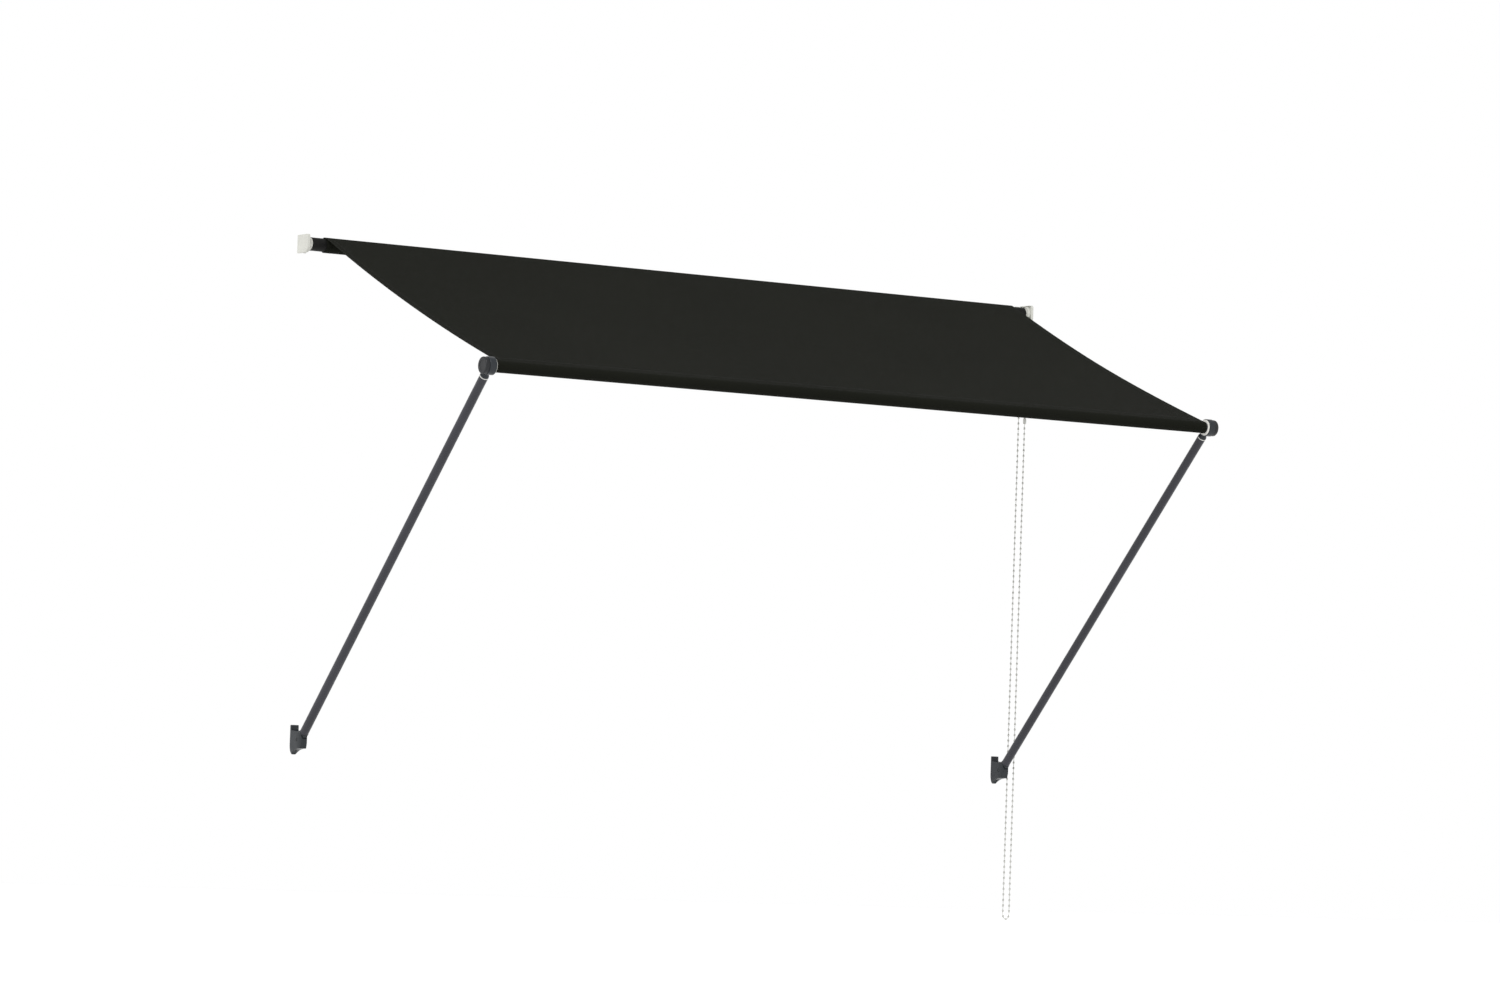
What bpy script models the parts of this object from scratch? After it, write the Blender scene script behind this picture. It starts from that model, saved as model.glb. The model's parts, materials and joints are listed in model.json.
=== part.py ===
"""Wall awning with two drop arms, a cloth roller, a front bar and a bead chain drive.

Metres, +Z up, the wall is the plane Y = 0 and the awning stands out towards -Y.
The origin is the middle of the left roller bracket's back face, level with the roller axis.
Distances called inboard run from a roller bracket's middle towards the awning's middle.
"""
import math

import bmesh
import bpy
from mathutils import Vector

# Layout of the awning
SPAN = 2.50
DROP = 1.40
ARM_LENGTH = 1.40
ARM_LEAN = math.radians(44.0)
ROLLER_OUT = 0.034
PIVOT_OUT = 0.040
ARM_INBOARD = 0.036

# Clearances
SEAT_GAP = 0.0003
RUN_GAP = 0.0006

# Roller brackets and their snap-on covers
PLATE_WIDTH = 0.026
PLATE_THICKNESS = 0.003
CHEEK_THICKNESS = 0.003
CHEEK_RADIUS = 0.024
CHEEK_TOP_CORNER = 0.006
CHEEK_LOW_CORNER = 0.013
FLANGE_FILLET = 0.004
BRACKET_SCREW_HOLE = 0.0048
BRACKET_SCREW_PITCH = 0.034
BRACKET_SCREW_INBOARD = 0.003
COVER_WALL = 0.0016
COVER_DEPTH = 0.0085
COVER_EDGE = 0.0012

# Roller tube and what turns with it
TUBE_RADIUS = 0.019
TUBE_WALL = 0.0012
TUBE_INBOARD = 0.007
PLUG_DEPTH = 0.036
PLUG_RIB_DEPTH = 0.0009
PLUG_RIBS = 2
HUB_RADIUS = 0.0178
PIN_RADIUS = 0.004
PIN_REACH = 0.030
PIN_SHOULDER_RADIUS = 0.007
PIN_SHOULDER_WIDTH = 0.002

# Chain drive on the right
SPINDLE_RADIUS = 0.0065
SPINDLE_REACH = 0.036
WHEEL_PITCH_RADIUS = 0.016
WHEEL_RIM_RADIUS = 0.0188
WHEEL_WIDTH = 0.0104
WHEEL_INBOARD = -0.0019
WHEEL_GROOVE = 0.0068
WHEEL_POCKETS = 6
WHEEL_POCKET_RADIUS = 0.0042
WHEEL_HUB_RADIUS = 0.0115
GUARD_WALL = 0.0016
GUARD_RADIUS = 0.0226
GUARD_BACK = 0.0014
GUARD_SLOT = 0.0078
BEAD_RADIUS = 0.0030
CHAIN_DROP = 1.852
CHAIN_POINTS = 60
CHAIN_SPLIT = 0.0009
CONNECTOR_RADIUS = 0.0050
CONNECTOR_LENGTH = 0.017
CONNECTOR_BELOW = 0.330

# Cloth
CLOTH_INBOARD = 0.052
CLOTH_THICKNESS = 0.0005
CLOTH_SAG = 0.014
ROLL_TURNS = 3.5
ROLL_GAP = 0.00015
ROLL_STEPS = 34
SHEET_STEPS = 24
POCKET_STEPS = 24
POCKET_SEAM = 0.024
POCKET_HEM = 0.012

# Front bar, its end knobs and the arm heads that carry it
BAR_RADIUS = 0.016
BAR_WALL = 0.0015
HEAD_RADIUS = 0.025
HEAD_WIDTH = 0.021
HEAD_NECK = 0.012
HEAD_SPIGOT = 0.036
BUSH_WALL = 0.0022
BUSH_FLANGE_RADIUS = 0.0232
BUSH_FLANGE = 0.0012
KNOB_RADIUS = 0.0235
KNOB_WIDTH = 0.0125
KNOB_EDGE = 0.0030
KNOB_DISH_RADIUS = 0.0150
KNOB_DISH = 0.0012
KNOB_STEM = 0.022
ARM_COLLAR = 0.0022
ARM_COLLAR_PROUD = 0.0004

# Arms
ARM_RADIUS = 0.0125
ARM_WALL = 0.0015
KNUCKLE_WIDTH = 0.013
KNUCKLE_RADIUS = 0.0125
KNUCKLE_SHOULDER = 0.026
KNUCKLE_COLLAR = 0.003
KNUCKLE_SPIGOT = 0.034

# Wall brackets and pivots
FOOT_WIDTH = 0.024
FOOT_PLATE = 0.0055
FOOT_SHOULDER = 0.0270
FOOT_NOSE_CORNER = (0.0560, 0.0240)
FOOT_POCKET_GAP = 0.0012
FOOT_POCKET_LEAN = math.radians(47.0)
FOOT_TIP_WIDTH = 0.006
FOOT_TIP_START = 0.014
FOOT_TOP = 0.042
FOOT_BOTTOM = 0.041
FOOT_EAR_RADIUS = 0.0240
FOOT_NECK_FILLET = 0.0030
FOOT_SCREW_HOLE = 0.0056
FOOT_SCREW_HIGH = 0.0350
FOOT_SCREW_LOW = 0.0310
KEYHOLE_HEAD = 0.0090
KEYHOLE_TRAVEL = 0.0040
KEYHOLE_LIP = 0.0015
KEYHOLE_DEPTH = 0.0038
PIVOT_PIN_RADIUS = 0.004
PIVOT_PIN_SUNK = 0.0006
PIVOT_BUSH_WALL = 0.0019

FINE = 30
MEDIUM = 28
COARSE = 20

SIDES = ("left", "right")


def clear_scene():
    for found in list(bpy.data.objects):
        bpy.data.objects.remove(found, do_unlink=True)


def linear(channel):
    """Linear light value of one 0-255 screen channel."""
    share = channel / 255.0
    if share <= 0.04045:
        return share / 12.92
    return ((share + 0.055) / 1.055) ** 2.4


def make_material(name, screen_colour, roughness, metallic):
    material = bpy.data.materials.new(name)
    material.use_nodes = True
    shader = material.node_tree.nodes["Principled BSDF"]
    shader.inputs["Base Color"].default_value = [linear(c) for c in screen_colour] + [1.0]
    shader.inputs["Roughness"].default_value = roughness
    shader.inputs["Metallic"].default_value = metallic
    return material


def make_empty(name, location, parent=None, turn=0.0):
    empty = bpy.data.objects.new(name, None)
    empty.location = location
    empty.rotation_euler = (turn, 0.0, 0.0)
    empty.parent = parent
    bpy.context.collection.objects.link(empty)
    return empty


def make_object(name, bm, material=None, parent=None, location=(0.0, 0.0, 0.0)):
    """Named object from a bmesh, shaded smooth with its edges kept sharp."""
    mesh = bpy.data.meshes.new(name)
    bmesh.ops.recalc_face_normals(bm, faces=bm.faces)
    bm.to_mesh(mesh)
    bm.free()
    mesh.shade_smooth()
    mesh.set_sharp_from_angle(angle=math.radians(35.0))
    if material is not None:
        mesh.materials.append(material)
    made = bpy.data.objects.new(name, mesh)
    made.parent = parent
    made.location = location
    bpy.context.collection.objects.link(made)
    return made


def combine(target, tool, operation):
    """Cut or join with a helper object, which is hidden from renders."""
    tool.hide_render = True
    tool.display_type = "WIRE"
    modifier = target.modifiers.new(tool.name, "BOOLEAN")
    modifier.operation = operation
    modifier.object = tool


def turned(profile, steps, axis="X", out=0.0, up=0.0):
    """Mesh turned about an axis line. The profile holds (along, radius) pairs.

    A profile that starts and ends at radius 0 is a solid piece, any other is a ring.
    """
    bm = bmesh.new()
    rings = []
    for along, radius in profile:
        count = 1 if radius == 0.0 else steps
        ring = []
        for i in range(count):
            angle = math.tau * (i + 0.5) / steps
            first = radius * math.cos(angle)
            second = radius * math.sin(angle)
            spot = {
                "X": (along, first + out, second + up),
                "Y": (first, along + out, second + up),
                "Z": (first, second + out, along + up),
            }[axis]
            ring.append(bm.verts.new(spot))
        rings.append(ring)
    pairs = list(zip(rings, rings[1:]))
    if len(rings[0]) > 1:
        pairs.append((rings[-1], rings[0]))
    for near, far in pairs:
        for i in range(steps):
            j = (i + 1) % steps
            corners = [near[i % len(near)], near[j % len(near)], far[j % len(far)], far[i % len(far)]]
            bm.faces.new(list(dict.fromkeys(corners)))
    return bm


def stacked(levels):
    """Solid through closed outlines of (y, z) pairs, given as (place along X, outline)."""
    bm = bmesh.new()
    rings = [[bm.verts.new((place, y, z)) for y, z in outline] for place, outline in levels]
    for near, far in zip(rings, rings[1:]):
        for i in range(len(near)):
            j = (i + 1) % len(near)
            bm.faces.new((near[i], near[j], far[j], far[i]))
    bm.faces.new(rings[0])
    bm.faces.new(rings[-1])
    return bm


def prism(outline, start, end):
    """Solid over a closed outline of (y, z) pairs, between two places along X."""
    return stacked([(start, outline), (end, outline)])


def arc(centre, radius, first, last, steps):
    """Points on an arc. Angles are degrees from +Y towards +Z, the centre is (y, z)."""
    points = []
    for i in range(steps + 1):
        angle = math.radians(first + (last - first) * i / steps)
        points.append((centre[0] + radius * math.cos(angle), centre[1] + radius * math.sin(angle)))
    return points


def box(low, high):
    bm = bmesh.new()
    bmesh.ops.create_cube(bm, size=1.0)
    for vert in bm.verts:
        vert.co = [lo + (hi - lo) * (c + 0.5) for lo, hi, c in zip(low, high, vert.co)]
    return bm


def for_side(bm, side):
    """Pieces are drawn for the left end, and the right end's are their mirror image."""
    if side == "right":
        bmesh.ops.scale(bm, vec=(-1.0, 1.0, 1.0), verts=bm.verts)
    return bm


def end_x(side):
    return 0.0 if side == "left" else SPAN


def tube_profile(start, end, outer, inner):
    return [(start, inner), (start, outer), (end, outer), (end, inner)]


clear_scene()

WHITE_PLASTIC = make_material("white_plastic", (226, 225, 217), 0.42, 0.0)
WHITE_PAINT = make_material("white_paint", (222, 222, 216), 0.38, 0.0)
NYLON = make_material("white_nylon", (232, 231, 225), 0.5, 0.0)
ROLLER_METAL = make_material("roller_metal", (52, 52, 54), 0.42, 0.6)
ARM_PAINT = make_material("arm_paint", (68, 68, 75), 0.45, 0.3)
CAST_PAINT = make_material("cast_paint", (76, 82, 85), 0.42, 0.35)
KNOB_PLASTIC = make_material("knob_plastic", (50, 51, 53), 0.5, 0.0)
CANVAS = make_material("canvas", (40, 41, 36), 0.9, 0.0)
ZINC = make_material("zinc_steel", (176, 178, 180), 0.35, 1.0)
PIN_STEEL = make_material("pin_steel", (52, 54, 57), 0.5, 0.6)
BEAD_PLASTIC = make_material("bead_plastic", (214, 214, 208), 0.4, 0.0)

roller_axis = make_empty("roller_axis", (0.0, -ROLLER_OUT, 0.0))
arm_axis = make_empty("arm_axis", (0.0, -PIVOT_OUT, -DROP), turn=ARM_LEAN)
bar_axis = make_empty("bar_axis", (0.0, 0.0, ARM_LENGTH), parent=arm_axis)


def cheek_outline(grow, back):
    """Roller bracket's side cheek: square to the wall, with rounded front corners."""
    half = CHEEK_RADIUS + grow
    front = -ROLLER_OUT - half
    top = CHEEK_TOP_CORNER + grow
    low = CHEEK_LOW_CORNER + grow
    nose = arc((front + top, half - top), top, 90.0, 180.0, 7)
    nose += arc((front + low, low - half), low, 180.0, 270.0, 10)
    return [(back, half)] + nose + [(back, -half)]


def make_roller_bracket(side):
    """Bent plate: a back flange on the wall and a cheek that stands out from its outer edge."""
    outer = -PLATE_WIDTH / 2
    inner = PLATE_WIDTH / 2
    bracket = make_object(
        "roller_bracket_" + side,
        for_side(prism(cheek_outline(0.0, 0.0), outer, outer + CHEEK_THICKNESS), side),
        WHITE_PAINT,
        location=(end_x(side), 0.0, 0.0),
    )
    fold = outer + CHEEK_THICKNESS
    flange = bmesh.new()
    bend = [(fold + FLANGE_FILLET, -PLATE_THICKNESS)]
    for i in range(1, 5):
        angle = math.radians(90.0 * i / 4)
        bend.append((
            fold + FLANGE_FILLET * (1.0 - math.sin(angle)),
            -PLATE_THICKNESS - FLANGE_FILLET * (1.0 - math.cos(angle)),
        ))
    corner = bend[-1][1]
    section = [(outer + CHEEK_THICKNESS / 2, 0.0), (outer + CHEEK_THICKNESS / 2, corner)]
    section += list(reversed(bend)) + [(inner, -PLATE_THICKNESS), (inner, 0.0)]
    low = [flange.verts.new((x, y, -CHEEK_RADIUS)) for x, y in section]
    high = [flange.verts.new((x, y, CHEEK_RADIUS)) for x, y in section]
    for i in range(len(section)):
        j = (i + 1) % len(section)
        flange.faces.new((low[i], low[j], high[j], high[i]))
    flange.faces.new(low)
    flange.faces.new(high)
    spot = (end_x(side), 0.0, 0.0)
    combine(bracket, make_object("flange_" + side, for_side(flange, side), location=spot), "UNION")
    for level, sign in (("high", 1.0), ("low", -1.0)):
        hole = turned(
            [(0.01, 0.0), (0.01, BRACKET_SCREW_HOLE / 2), (-0.01, BRACKET_SCREW_HOLE / 2), (-0.01, 0.0)],
            16, "Y", 0.0, sign * BRACKET_SCREW_PITCH / 2,
        )
        bmesh.ops.translate(hole, vec=(BRACKET_SCREW_INBOARD, 0.0, 0.0), verts=hole.verts)
        tool = make_object("bracket_hole_%s_%s" % (level, side), for_side(hole, side), location=spot)
        combine(bracket, tool, "DIFFERENCE")
    bore_radius = (PIN_RADIUS if side == "left" else SPINDLE_RADIUS) + SEAT_GAP
    profile = [(-0.02, 0.0), (-0.02, bore_radius), (0.0, bore_radius), (0.0, 0.0)]
    bore = turned(profile, COARSE, "X", -ROLLER_OUT)
    tool = make_object("bracket_bore_" + side, for_side(bore, side), location=spot)
    combine(bracket, tool, "DIFFERENCE")


def make_cover(side):
    """Shallow plastic cap that snaps over the cheek's outer face and edge."""
    face = -PLATE_WIDTH / 2 - SEAT_GAP - COVER_WALL
    levels = []
    for angle in (0.0, 30.0, 60.0, 90.0):
        inset = COVER_EDGE * (1.0 - math.sin(math.radians(angle)))
        level = face + COVER_EDGE * (1.0 - math.cos(math.radians(angle)))
        levels.append((level, cheek_outline(SEAT_GAP + COVER_WALL - inset, -SEAT_GAP)))
    levels.append((face + COVER_DEPTH, levels[-1][1]))
    shell = stacked(levels)
    spot = (end_x(side), 0.0, 0.0)
    cover = make_object("bracket_cover_" + side, for_side(shell, side), WHITE_PLASTIC, location=spot)
    hollow = prism(cheek_outline(SEAT_GAP, 0.01), face + COVER_WALL, face + COVER_DEPTH + 0.01)
    combine(cover, make_object("cover_hollow_" + side, for_side(hollow, side), location=spot), "DIFFERENCE")


for side in SIDES:
    make_roller_bracket(side)
    make_cover(side)


def make_idler_pin():
    """Shouldered pin riveted in the left cheek, on which the roller's free end turns."""
    outside = -PLATE_WIDTH / 2 + SEAT_GAP
    seat = -PLATE_WIDTH / 2 + CHEEK_THICKNESS + SEAT_GAP
    chamfer = 0.0008
    profile = [
        (outside, 0.0), (outside, PIN_RADIUS), (seat, PIN_RADIUS), (seat, PIN_SHOULDER_RADIUS),
        (seat + PIN_SHOULDER_WIDTH, PIN_SHOULDER_RADIUS), (seat + PIN_SHOULDER_WIDTH, PIN_RADIUS),
        (PIN_REACH - chamfer, PIN_RADIUS), (PIN_REACH, PIN_RADIUS - chamfer), (PIN_REACH, 0.0),
    ]
    make_object("idler_pin", turned(profile, COARSE), ZINC, location=(0.0, -ROLLER_OUT, 0.0))


def plug_profile(face, hub_radius, hub_start, bore):
    """Ribbed plastic plug pressed in the tube's end, with a hub that stands out of the tube."""
    body = TUBE_RADIUS - TUBE_WALL - SEAT_GAP
    rib_step = PLUG_DEPTH / (2 * PLUG_RIBS)
    profile = [(hub_start, bore), (hub_start, hub_radius), (face, hub_radius)]
    for i in range(PLUG_RIBS):
        start = face + SEAT_GAP + 2 * i * rib_step
        profile += [(start, body), (start + rib_step, body)]
        if i < PLUG_RIBS - 1:
            valley = body - PLUG_RIB_DEPTH
            profile += [(start + rib_step, valley), (start + 2 * rib_step, valley)]
    profile.append((profile[-1][0], bore))
    return profile


def make_idler_plug():
    start = -PLATE_WIDTH / 2 + CHEEK_THICKNESS + PIN_SHOULDER_WIDTH + 3 * SEAT_GAP
    profile = plug_profile(TUBE_INBOARD - SEAT_GAP, HUB_RADIUS, start, PIN_RADIUS + SEAT_GAP)
    make_object("idler_plug", turned(profile, FINE), WHITE_PLASTIC, parent=roller_axis)


def make_drive_plug():
    start = WHEEL_INBOARD + WHEEL_WIDTH / 2 + SEAT_GAP
    profile = plug_profile(TUBE_INBOARD - SEAT_GAP, HUB_RADIUS, start, WHEEL_HUB_RADIUS + SEAT_GAP)
    made = for_side(turned(profile, FINE), "right")
    make_object("drive_plug", made, WHITE_PLASTIC, parent=roller_axis, location=(SPAN, 0.0, 0.0))


def make_roller_tube():
    profile = tube_profile(TUBE_INBOARD, SPAN - TUBE_INBOARD, TUBE_RADIUS, TUBE_RADIUS - TUBE_WALL)
    make_object("roller_tube", turned(profile, 48), ROLLER_METAL, parent=roller_axis)


def make_clutch_core():
    """Fixed spindle that carries the chain wheel and holds the brake spring's grip."""
    outside = -PLATE_WIDTH / 2 + SEAT_GAP
    chamfer = 0.001
    profile = [
        (outside, 0.0), (outside, SPINDLE_RADIUS),
        (SPINDLE_REACH - chamfer, SPINDLE_RADIUS), (SPINDLE_REACH, SPINDLE_RADIUS - chamfer),
        (SPINDLE_REACH, 0.0),
    ]
    made = for_side(turned(profile, COARSE), "right")
    make_object("clutch_core", made, NYLON, location=(SPAN, -ROLLER_OUT, 0.0))


def make_chain_wheel():
    """Grooved wheel whose side walls are scalloped to hold the beads, with a hub in the tube."""
    left = WHEEL_INBOARD - WHEEL_WIDTH / 2
    right = WHEEL_INBOARD + WHEEL_WIDTH / 2
    bore = SPINDLE_RADIUS + SEAT_GAP
    floor = WHEEL_PITCH_RADIUS - BEAD_RADIUS - SEAT_GAP
    half = WHEEL_GROOVE / 2
    hub_end = TUBE_INBOARD + PLUG_DEPTH * 0.7
    profile = [
        (left, bore), (left, WHEEL_RIM_RADIUS), (WHEEL_INBOARD - half, WHEEL_RIM_RADIUS),
        (WHEEL_INBOARD - half, floor), (WHEEL_INBOARD + half, floor),
        (WHEEL_INBOARD + half, WHEEL_RIM_RADIUS), (right, WHEEL_RIM_RADIUS),
        (right, WHEEL_HUB_RADIUS), (hub_end, WHEEL_HUB_RADIUS), (hub_end, bore),
    ]
    spot = (SPAN, 0.0, 0.0)
    wheel = make_object(
        "chain_wheel", for_side(turned(profile, 32), "right"), NYLON, parent=roller_axis, location=spot,
    )
    for i in range(WHEEL_POCKETS):
        pocket = bmesh.new()
        bmesh.ops.create_icosphere(pocket, subdivisions=2, radius=WHEEL_POCKET_RADIUS)
        angle = math.tau * i / WHEEL_POCKETS
        place = Vector((
            -WHEEL_INBOARD,
            WHEEL_PITCH_RADIUS * math.cos(angle),
            WHEEL_PITCH_RADIUS * math.sin(angle),
        ))
        bmesh.ops.translate(pocket, vec=place, verts=pocket.verts)
        tool = make_object("wheel_pocket_%d" % i, pocket, parent=roller_axis, location=spot)
        combine(wheel, tool, "DIFFERENCE")


def make_chain_guard():
    """Fixed cup round the chain wheel, slotted below where the two strands come out."""
    seat = -PLATE_WIDTH / 2 + CHEEK_THICKNESS + SEAT_GAP
    rim = WHEEL_INBOARD + WHEEL_WIDTH / 2
    inner = GUARD_RADIUS - GUARD_WALL
    bore = SPINDLE_RADIUS + SEAT_GAP
    profile = [
        (seat, bore), (seat, GUARD_RADIUS - 0.001), (seat + 0.001, GUARD_RADIUS), (rim, GUARD_RADIUS),
        (rim, inner), (seat + GUARD_BACK, inner), (seat + GUARD_BACK, bore),
    ]
    spot = (SPAN, -ROLLER_OUT, 0.0)
    cup = for_side(turned(profile, FINE), "right")
    guard = make_object("chain_guard", cup, WHITE_PLASTIC, location=spot)
    for name, centre in (("front", -WHEEL_PITCH_RADIUS), ("rear", WHEEL_PITCH_RADIUS)):
        slot = box(
            (WHEEL_INBOARD - GUARD_SLOT / 2, centre - GUARD_SLOT / 2, -GUARD_RADIUS - 0.01),
            (WHEEL_INBOARD + GUARD_SLOT / 2, centre + GUARD_SLOT / 2, -WHEEL_PITCH_RADIUS / 2),
        )
        tool = make_object("guard_slot_" + name, for_side(slot, "right"), location=spot)
        combine(guard, tool, "DIFFERENCE")


make_idler_pin()
make_idler_plug()
make_roller_tube()
make_clutch_core()
make_drive_plug()
make_chain_wheel()
make_chain_guard()


def bar_centre():
    """Front bar axis at rest as (out, up), out from the wall."""
    return Vector((
        PIVOT_OUT + ARM_LENGTH * math.sin(ARM_LEAN),
        -DROP + ARM_LENGTH * math.cos(ARM_LEAN),
    ))


def on_circle(centre, radius, angle):
    """Point at an angle from straight up towards outward, as (out, up)."""
    return centre + radius * Vector((math.sin(angle), math.cos(angle)))


def cloth_path():
    """Middle line of the cloth as (out, up) points: turns on the roller, sheet, pocket, hem."""
    roller = Vector((ROLLER_OUT, 0.0))
    bar = bar_centre()
    pitch = CLOTH_THICKNESS + ROLL_GAP
    first_radius = TUBE_RADIUS + SEAT_GAP + CLOTH_THICKNESS / 2
    roll_radius = first_radius + ROLL_TURNS * pitch
    pocket_radius = BAR_RADIUS + SEAT_GAP + CLOTH_THICKNESS / 2
    apart = bar - roller
    slope = math.atan2(-apart.y, apart.x) + math.asin((roll_radius - pocket_radius) / apart.length)
    dip = math.asin(4.0 * CLOTH_SAG / apart.length)
    leave = slope + dip
    arrive = slope - dip

    points = []
    steps = round(ROLL_TURNS * ROLL_STEPS)
    for i in range(steps):
        share = i / steps
        angle = leave - math.tau * ROLL_TURNS * (1.0 - share)
        points.append(on_circle(roller, first_radius + (roll_radius - first_radius) * share, angle))

    start = on_circle(roller, roll_radius, leave)
    end = on_circle(bar, pocket_radius, arrive)
    down_start = Vector((math.cos(leave), -math.sin(leave)))
    down_end = Vector((math.cos(arrive), -math.sin(arrive)))
    across = end - start
    turn = down_start.x * down_end.y - down_start.y * down_end.x
    reach = (across.x * down_end.y - across.y * down_end.x) / turn
    middle = start + reach * down_start
    for i in range(SHEET_STEPS):
        t = i / SHEET_STEPS
        points.append((1 - t) ** 2 * start + 2 * t * (1 - t) * middle + t ** 2 * end)

    under = Vector((math.sin(arrive), math.cos(arrive)))
    seam = end - POCKET_SEAM * down_end - (CLOTH_THICKNESS + SEAT_GAP) * under
    to_seam = seam - bar
    last = math.atan2(to_seam.x, to_seam.y) - math.acos(pocket_radius / to_seam.length) + math.tau
    for i in range(POCKET_STEPS + 1):
        points.append(on_circle(bar, pocket_radius, arrive + (last - arrive) * i / POCKET_STEPS))
    points.append(seam)
    points.append(seam - POCKET_HEM * down_end)
    return points


def make_cloth():
    """The path given the cloth's thickness, and drawn along the awning's width."""
    path = cloth_path()
    above = []
    below = []
    for i, point in enumerate(path):
        before = path[max(i - 1, 0)]
        after = path[min(i + 1, len(path) - 1)]
        along = (after - before).normalized()
        across = Vector((-along.y, along.x)) * CLOTH_THICKNESS / 2
        above.append(point + across)
        below.append(point - across)
    bm = bmesh.new()
    loops = []
    for x in (CLOTH_INBOARD, SPAN - CLOTH_INBOARD):
        loops.append([
            [bm.verts.new((x, -p.x, p.y)) for p in above],
            [bm.verts.new((x, -p.x, p.y)) for p in below],
        ])
    (near_above, near_below), (far_above, far_below) = loops
    last = len(path) - 1
    for i in range(last):
        bm.faces.new((near_above[i], near_above[i + 1], far_above[i + 1], far_above[i]))
        bm.faces.new((near_below[i], near_below[i + 1], far_below[i + 1], far_below[i]))
        bm.faces.new((near_above[i], near_above[i + 1], near_below[i + 1], near_below[i]))
        bm.faces.new((far_above[i], far_above[i + 1], far_below[i + 1], far_below[i]))
    for i in (0, last):
        bm.faces.new((near_above[i], far_above[i], far_below[i], near_below[i]))
    make_object("canopy_cloth", bm, CANVAS)


make_cloth()


def make_front_bar():
    start = ARM_INBOARD - HEAD_WIDTH / 2
    profile = tube_profile(start, SPAN - start, BAR_RADIUS, BAR_RADIUS - BAR_WALL)
    make_object("front_bar", turned(profile, MEDIUM), ARM_PAINT, parent=bar_axis)


def make_knob(side):
    """Round end knob with a dished face, and a stem pressed in the bar's end."""
    inner_face = ARM_INBOARD - HEAD_WIDTH / 2 - SEAT_GAP
    outer_face = inner_face - KNOB_WIDTH
    stem = BAR_RADIUS - BAR_WALL - SEAT_GAP
    profile = [(outer_face + KNOB_DISH, 0.0), (outer_face + KNOB_DISH, KNOB_DISH_RADIUS - 0.001)]
    profile.append((outer_face, KNOB_DISH_RADIUS))
    for i in range(5):
        angle = math.radians(90.0 * i / 4)
        profile.append((
            outer_face + KNOB_EDGE * (1.0 - math.cos(angle)),
            KNOB_RADIUS - KNOB_EDGE * (1.0 - math.sin(angle)),
        ))
    profile += [
        (inner_face - 0.001, KNOB_RADIUS), (inner_face, KNOB_RADIUS - 0.001), (inner_face, stem),
        (inner_face + KNOB_STEM - 0.002, stem), (inner_face + KNOB_STEM, stem - 0.002),
        (inner_face + KNOB_STEM, 0.0),
    ]
    made = for_side(turned(profile, FINE), side)
    name = "front_bar_knob_" + side
    make_object(name, made, KNOB_PLASTIC, parent=bar_axis, location=(end_x(side), 0.0, 0.0))


def make_arm_head(side):
    """Ring round the front bar's end, with a neck and a spigot that fits in the arm tube."""
    start = ARM_INBOARD - HEAD_WIDTH / 2
    end = ARM_INBOARD + HEAD_WIDTH / 2
    bore = BAR_RADIUS + BUSH_WALL + 2 * SEAT_GAP
    chamfer = 0.001
    profile = [
        (start, bore), (start, HEAD_RADIUS - chamfer), (start + chamfer, HEAD_RADIUS),
        (end - chamfer, HEAD_RADIUS), (end, HEAD_RADIUS - chamfer), (end, bore),
    ]
    spot = (end_x(side), 0.0, 0.0)
    ring = for_side(turned(profile, FINE), side)
    ring = make_object("arm_head_" + side, ring, CAST_PAINT, parent=bar_axis, location=spot)
    neck_top = -(bore + HEAD_RADIUS) / 2
    neck_end = -HEAD_RADIUS - HEAD_NECK
    spigot = ARM_RADIUS - ARM_WALL - SEAT_GAP
    neck_radius = min(ARM_RADIUS, HEAD_WIDTH / 2)
    profile = [
        (neck_top, 0.0), (neck_top, neck_radius * 0.9), (-HEAD_RADIUS - 0.004, neck_radius),
        (neck_end + 0.004, ARM_RADIUS), (neck_end, ARM_RADIUS), (neck_end, spigot),
        (neck_end - HEAD_SPIGOT + 0.002, spigot), (neck_end - HEAD_SPIGOT, spigot - 0.002),
        (neck_end - HEAD_SPIGOT, 0.0),
    ]
    neck = turned(profile, COARSE, "Z")
    bmesh.ops.translate(neck, vec=(ARM_INBOARD, 0.0, 0.0), verts=neck.verts)
    tool = make_object("head_neck_" + side, for_side(neck, side), parent=bar_axis, location=spot)
    combine(ring, tool, "UNION")


def make_head_bush(side):
    """Nylon bush in the arm head, whose flange lies between the ring and the cloth."""
    start = ARM_INBOARD - HEAD_WIDTH / 2 + SEAT_GAP
    seat = ARM_INBOARD + HEAD_WIDTH / 2 + SEAT_GAP
    inner = BAR_RADIUS + SEAT_GAP
    outer = inner + BUSH_WALL
    rounded = 0.0004
    profile = [
        (start, inner), (start, outer), (seat, outer), (seat, BUSH_FLANGE_RADIUS),
        (seat + BUSH_FLANGE - rounded, BUSH_FLANGE_RADIUS),
        (seat + BUSH_FLANGE, BUSH_FLANGE_RADIUS - rounded), (seat + BUSH_FLANGE, inner),
    ]
    made = for_side(turned(profile, MEDIUM), side)
    make_object("head_bush_" + side, made, NYLON, parent=bar_axis, location=(end_x(side), 0.0, 0.0))


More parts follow.
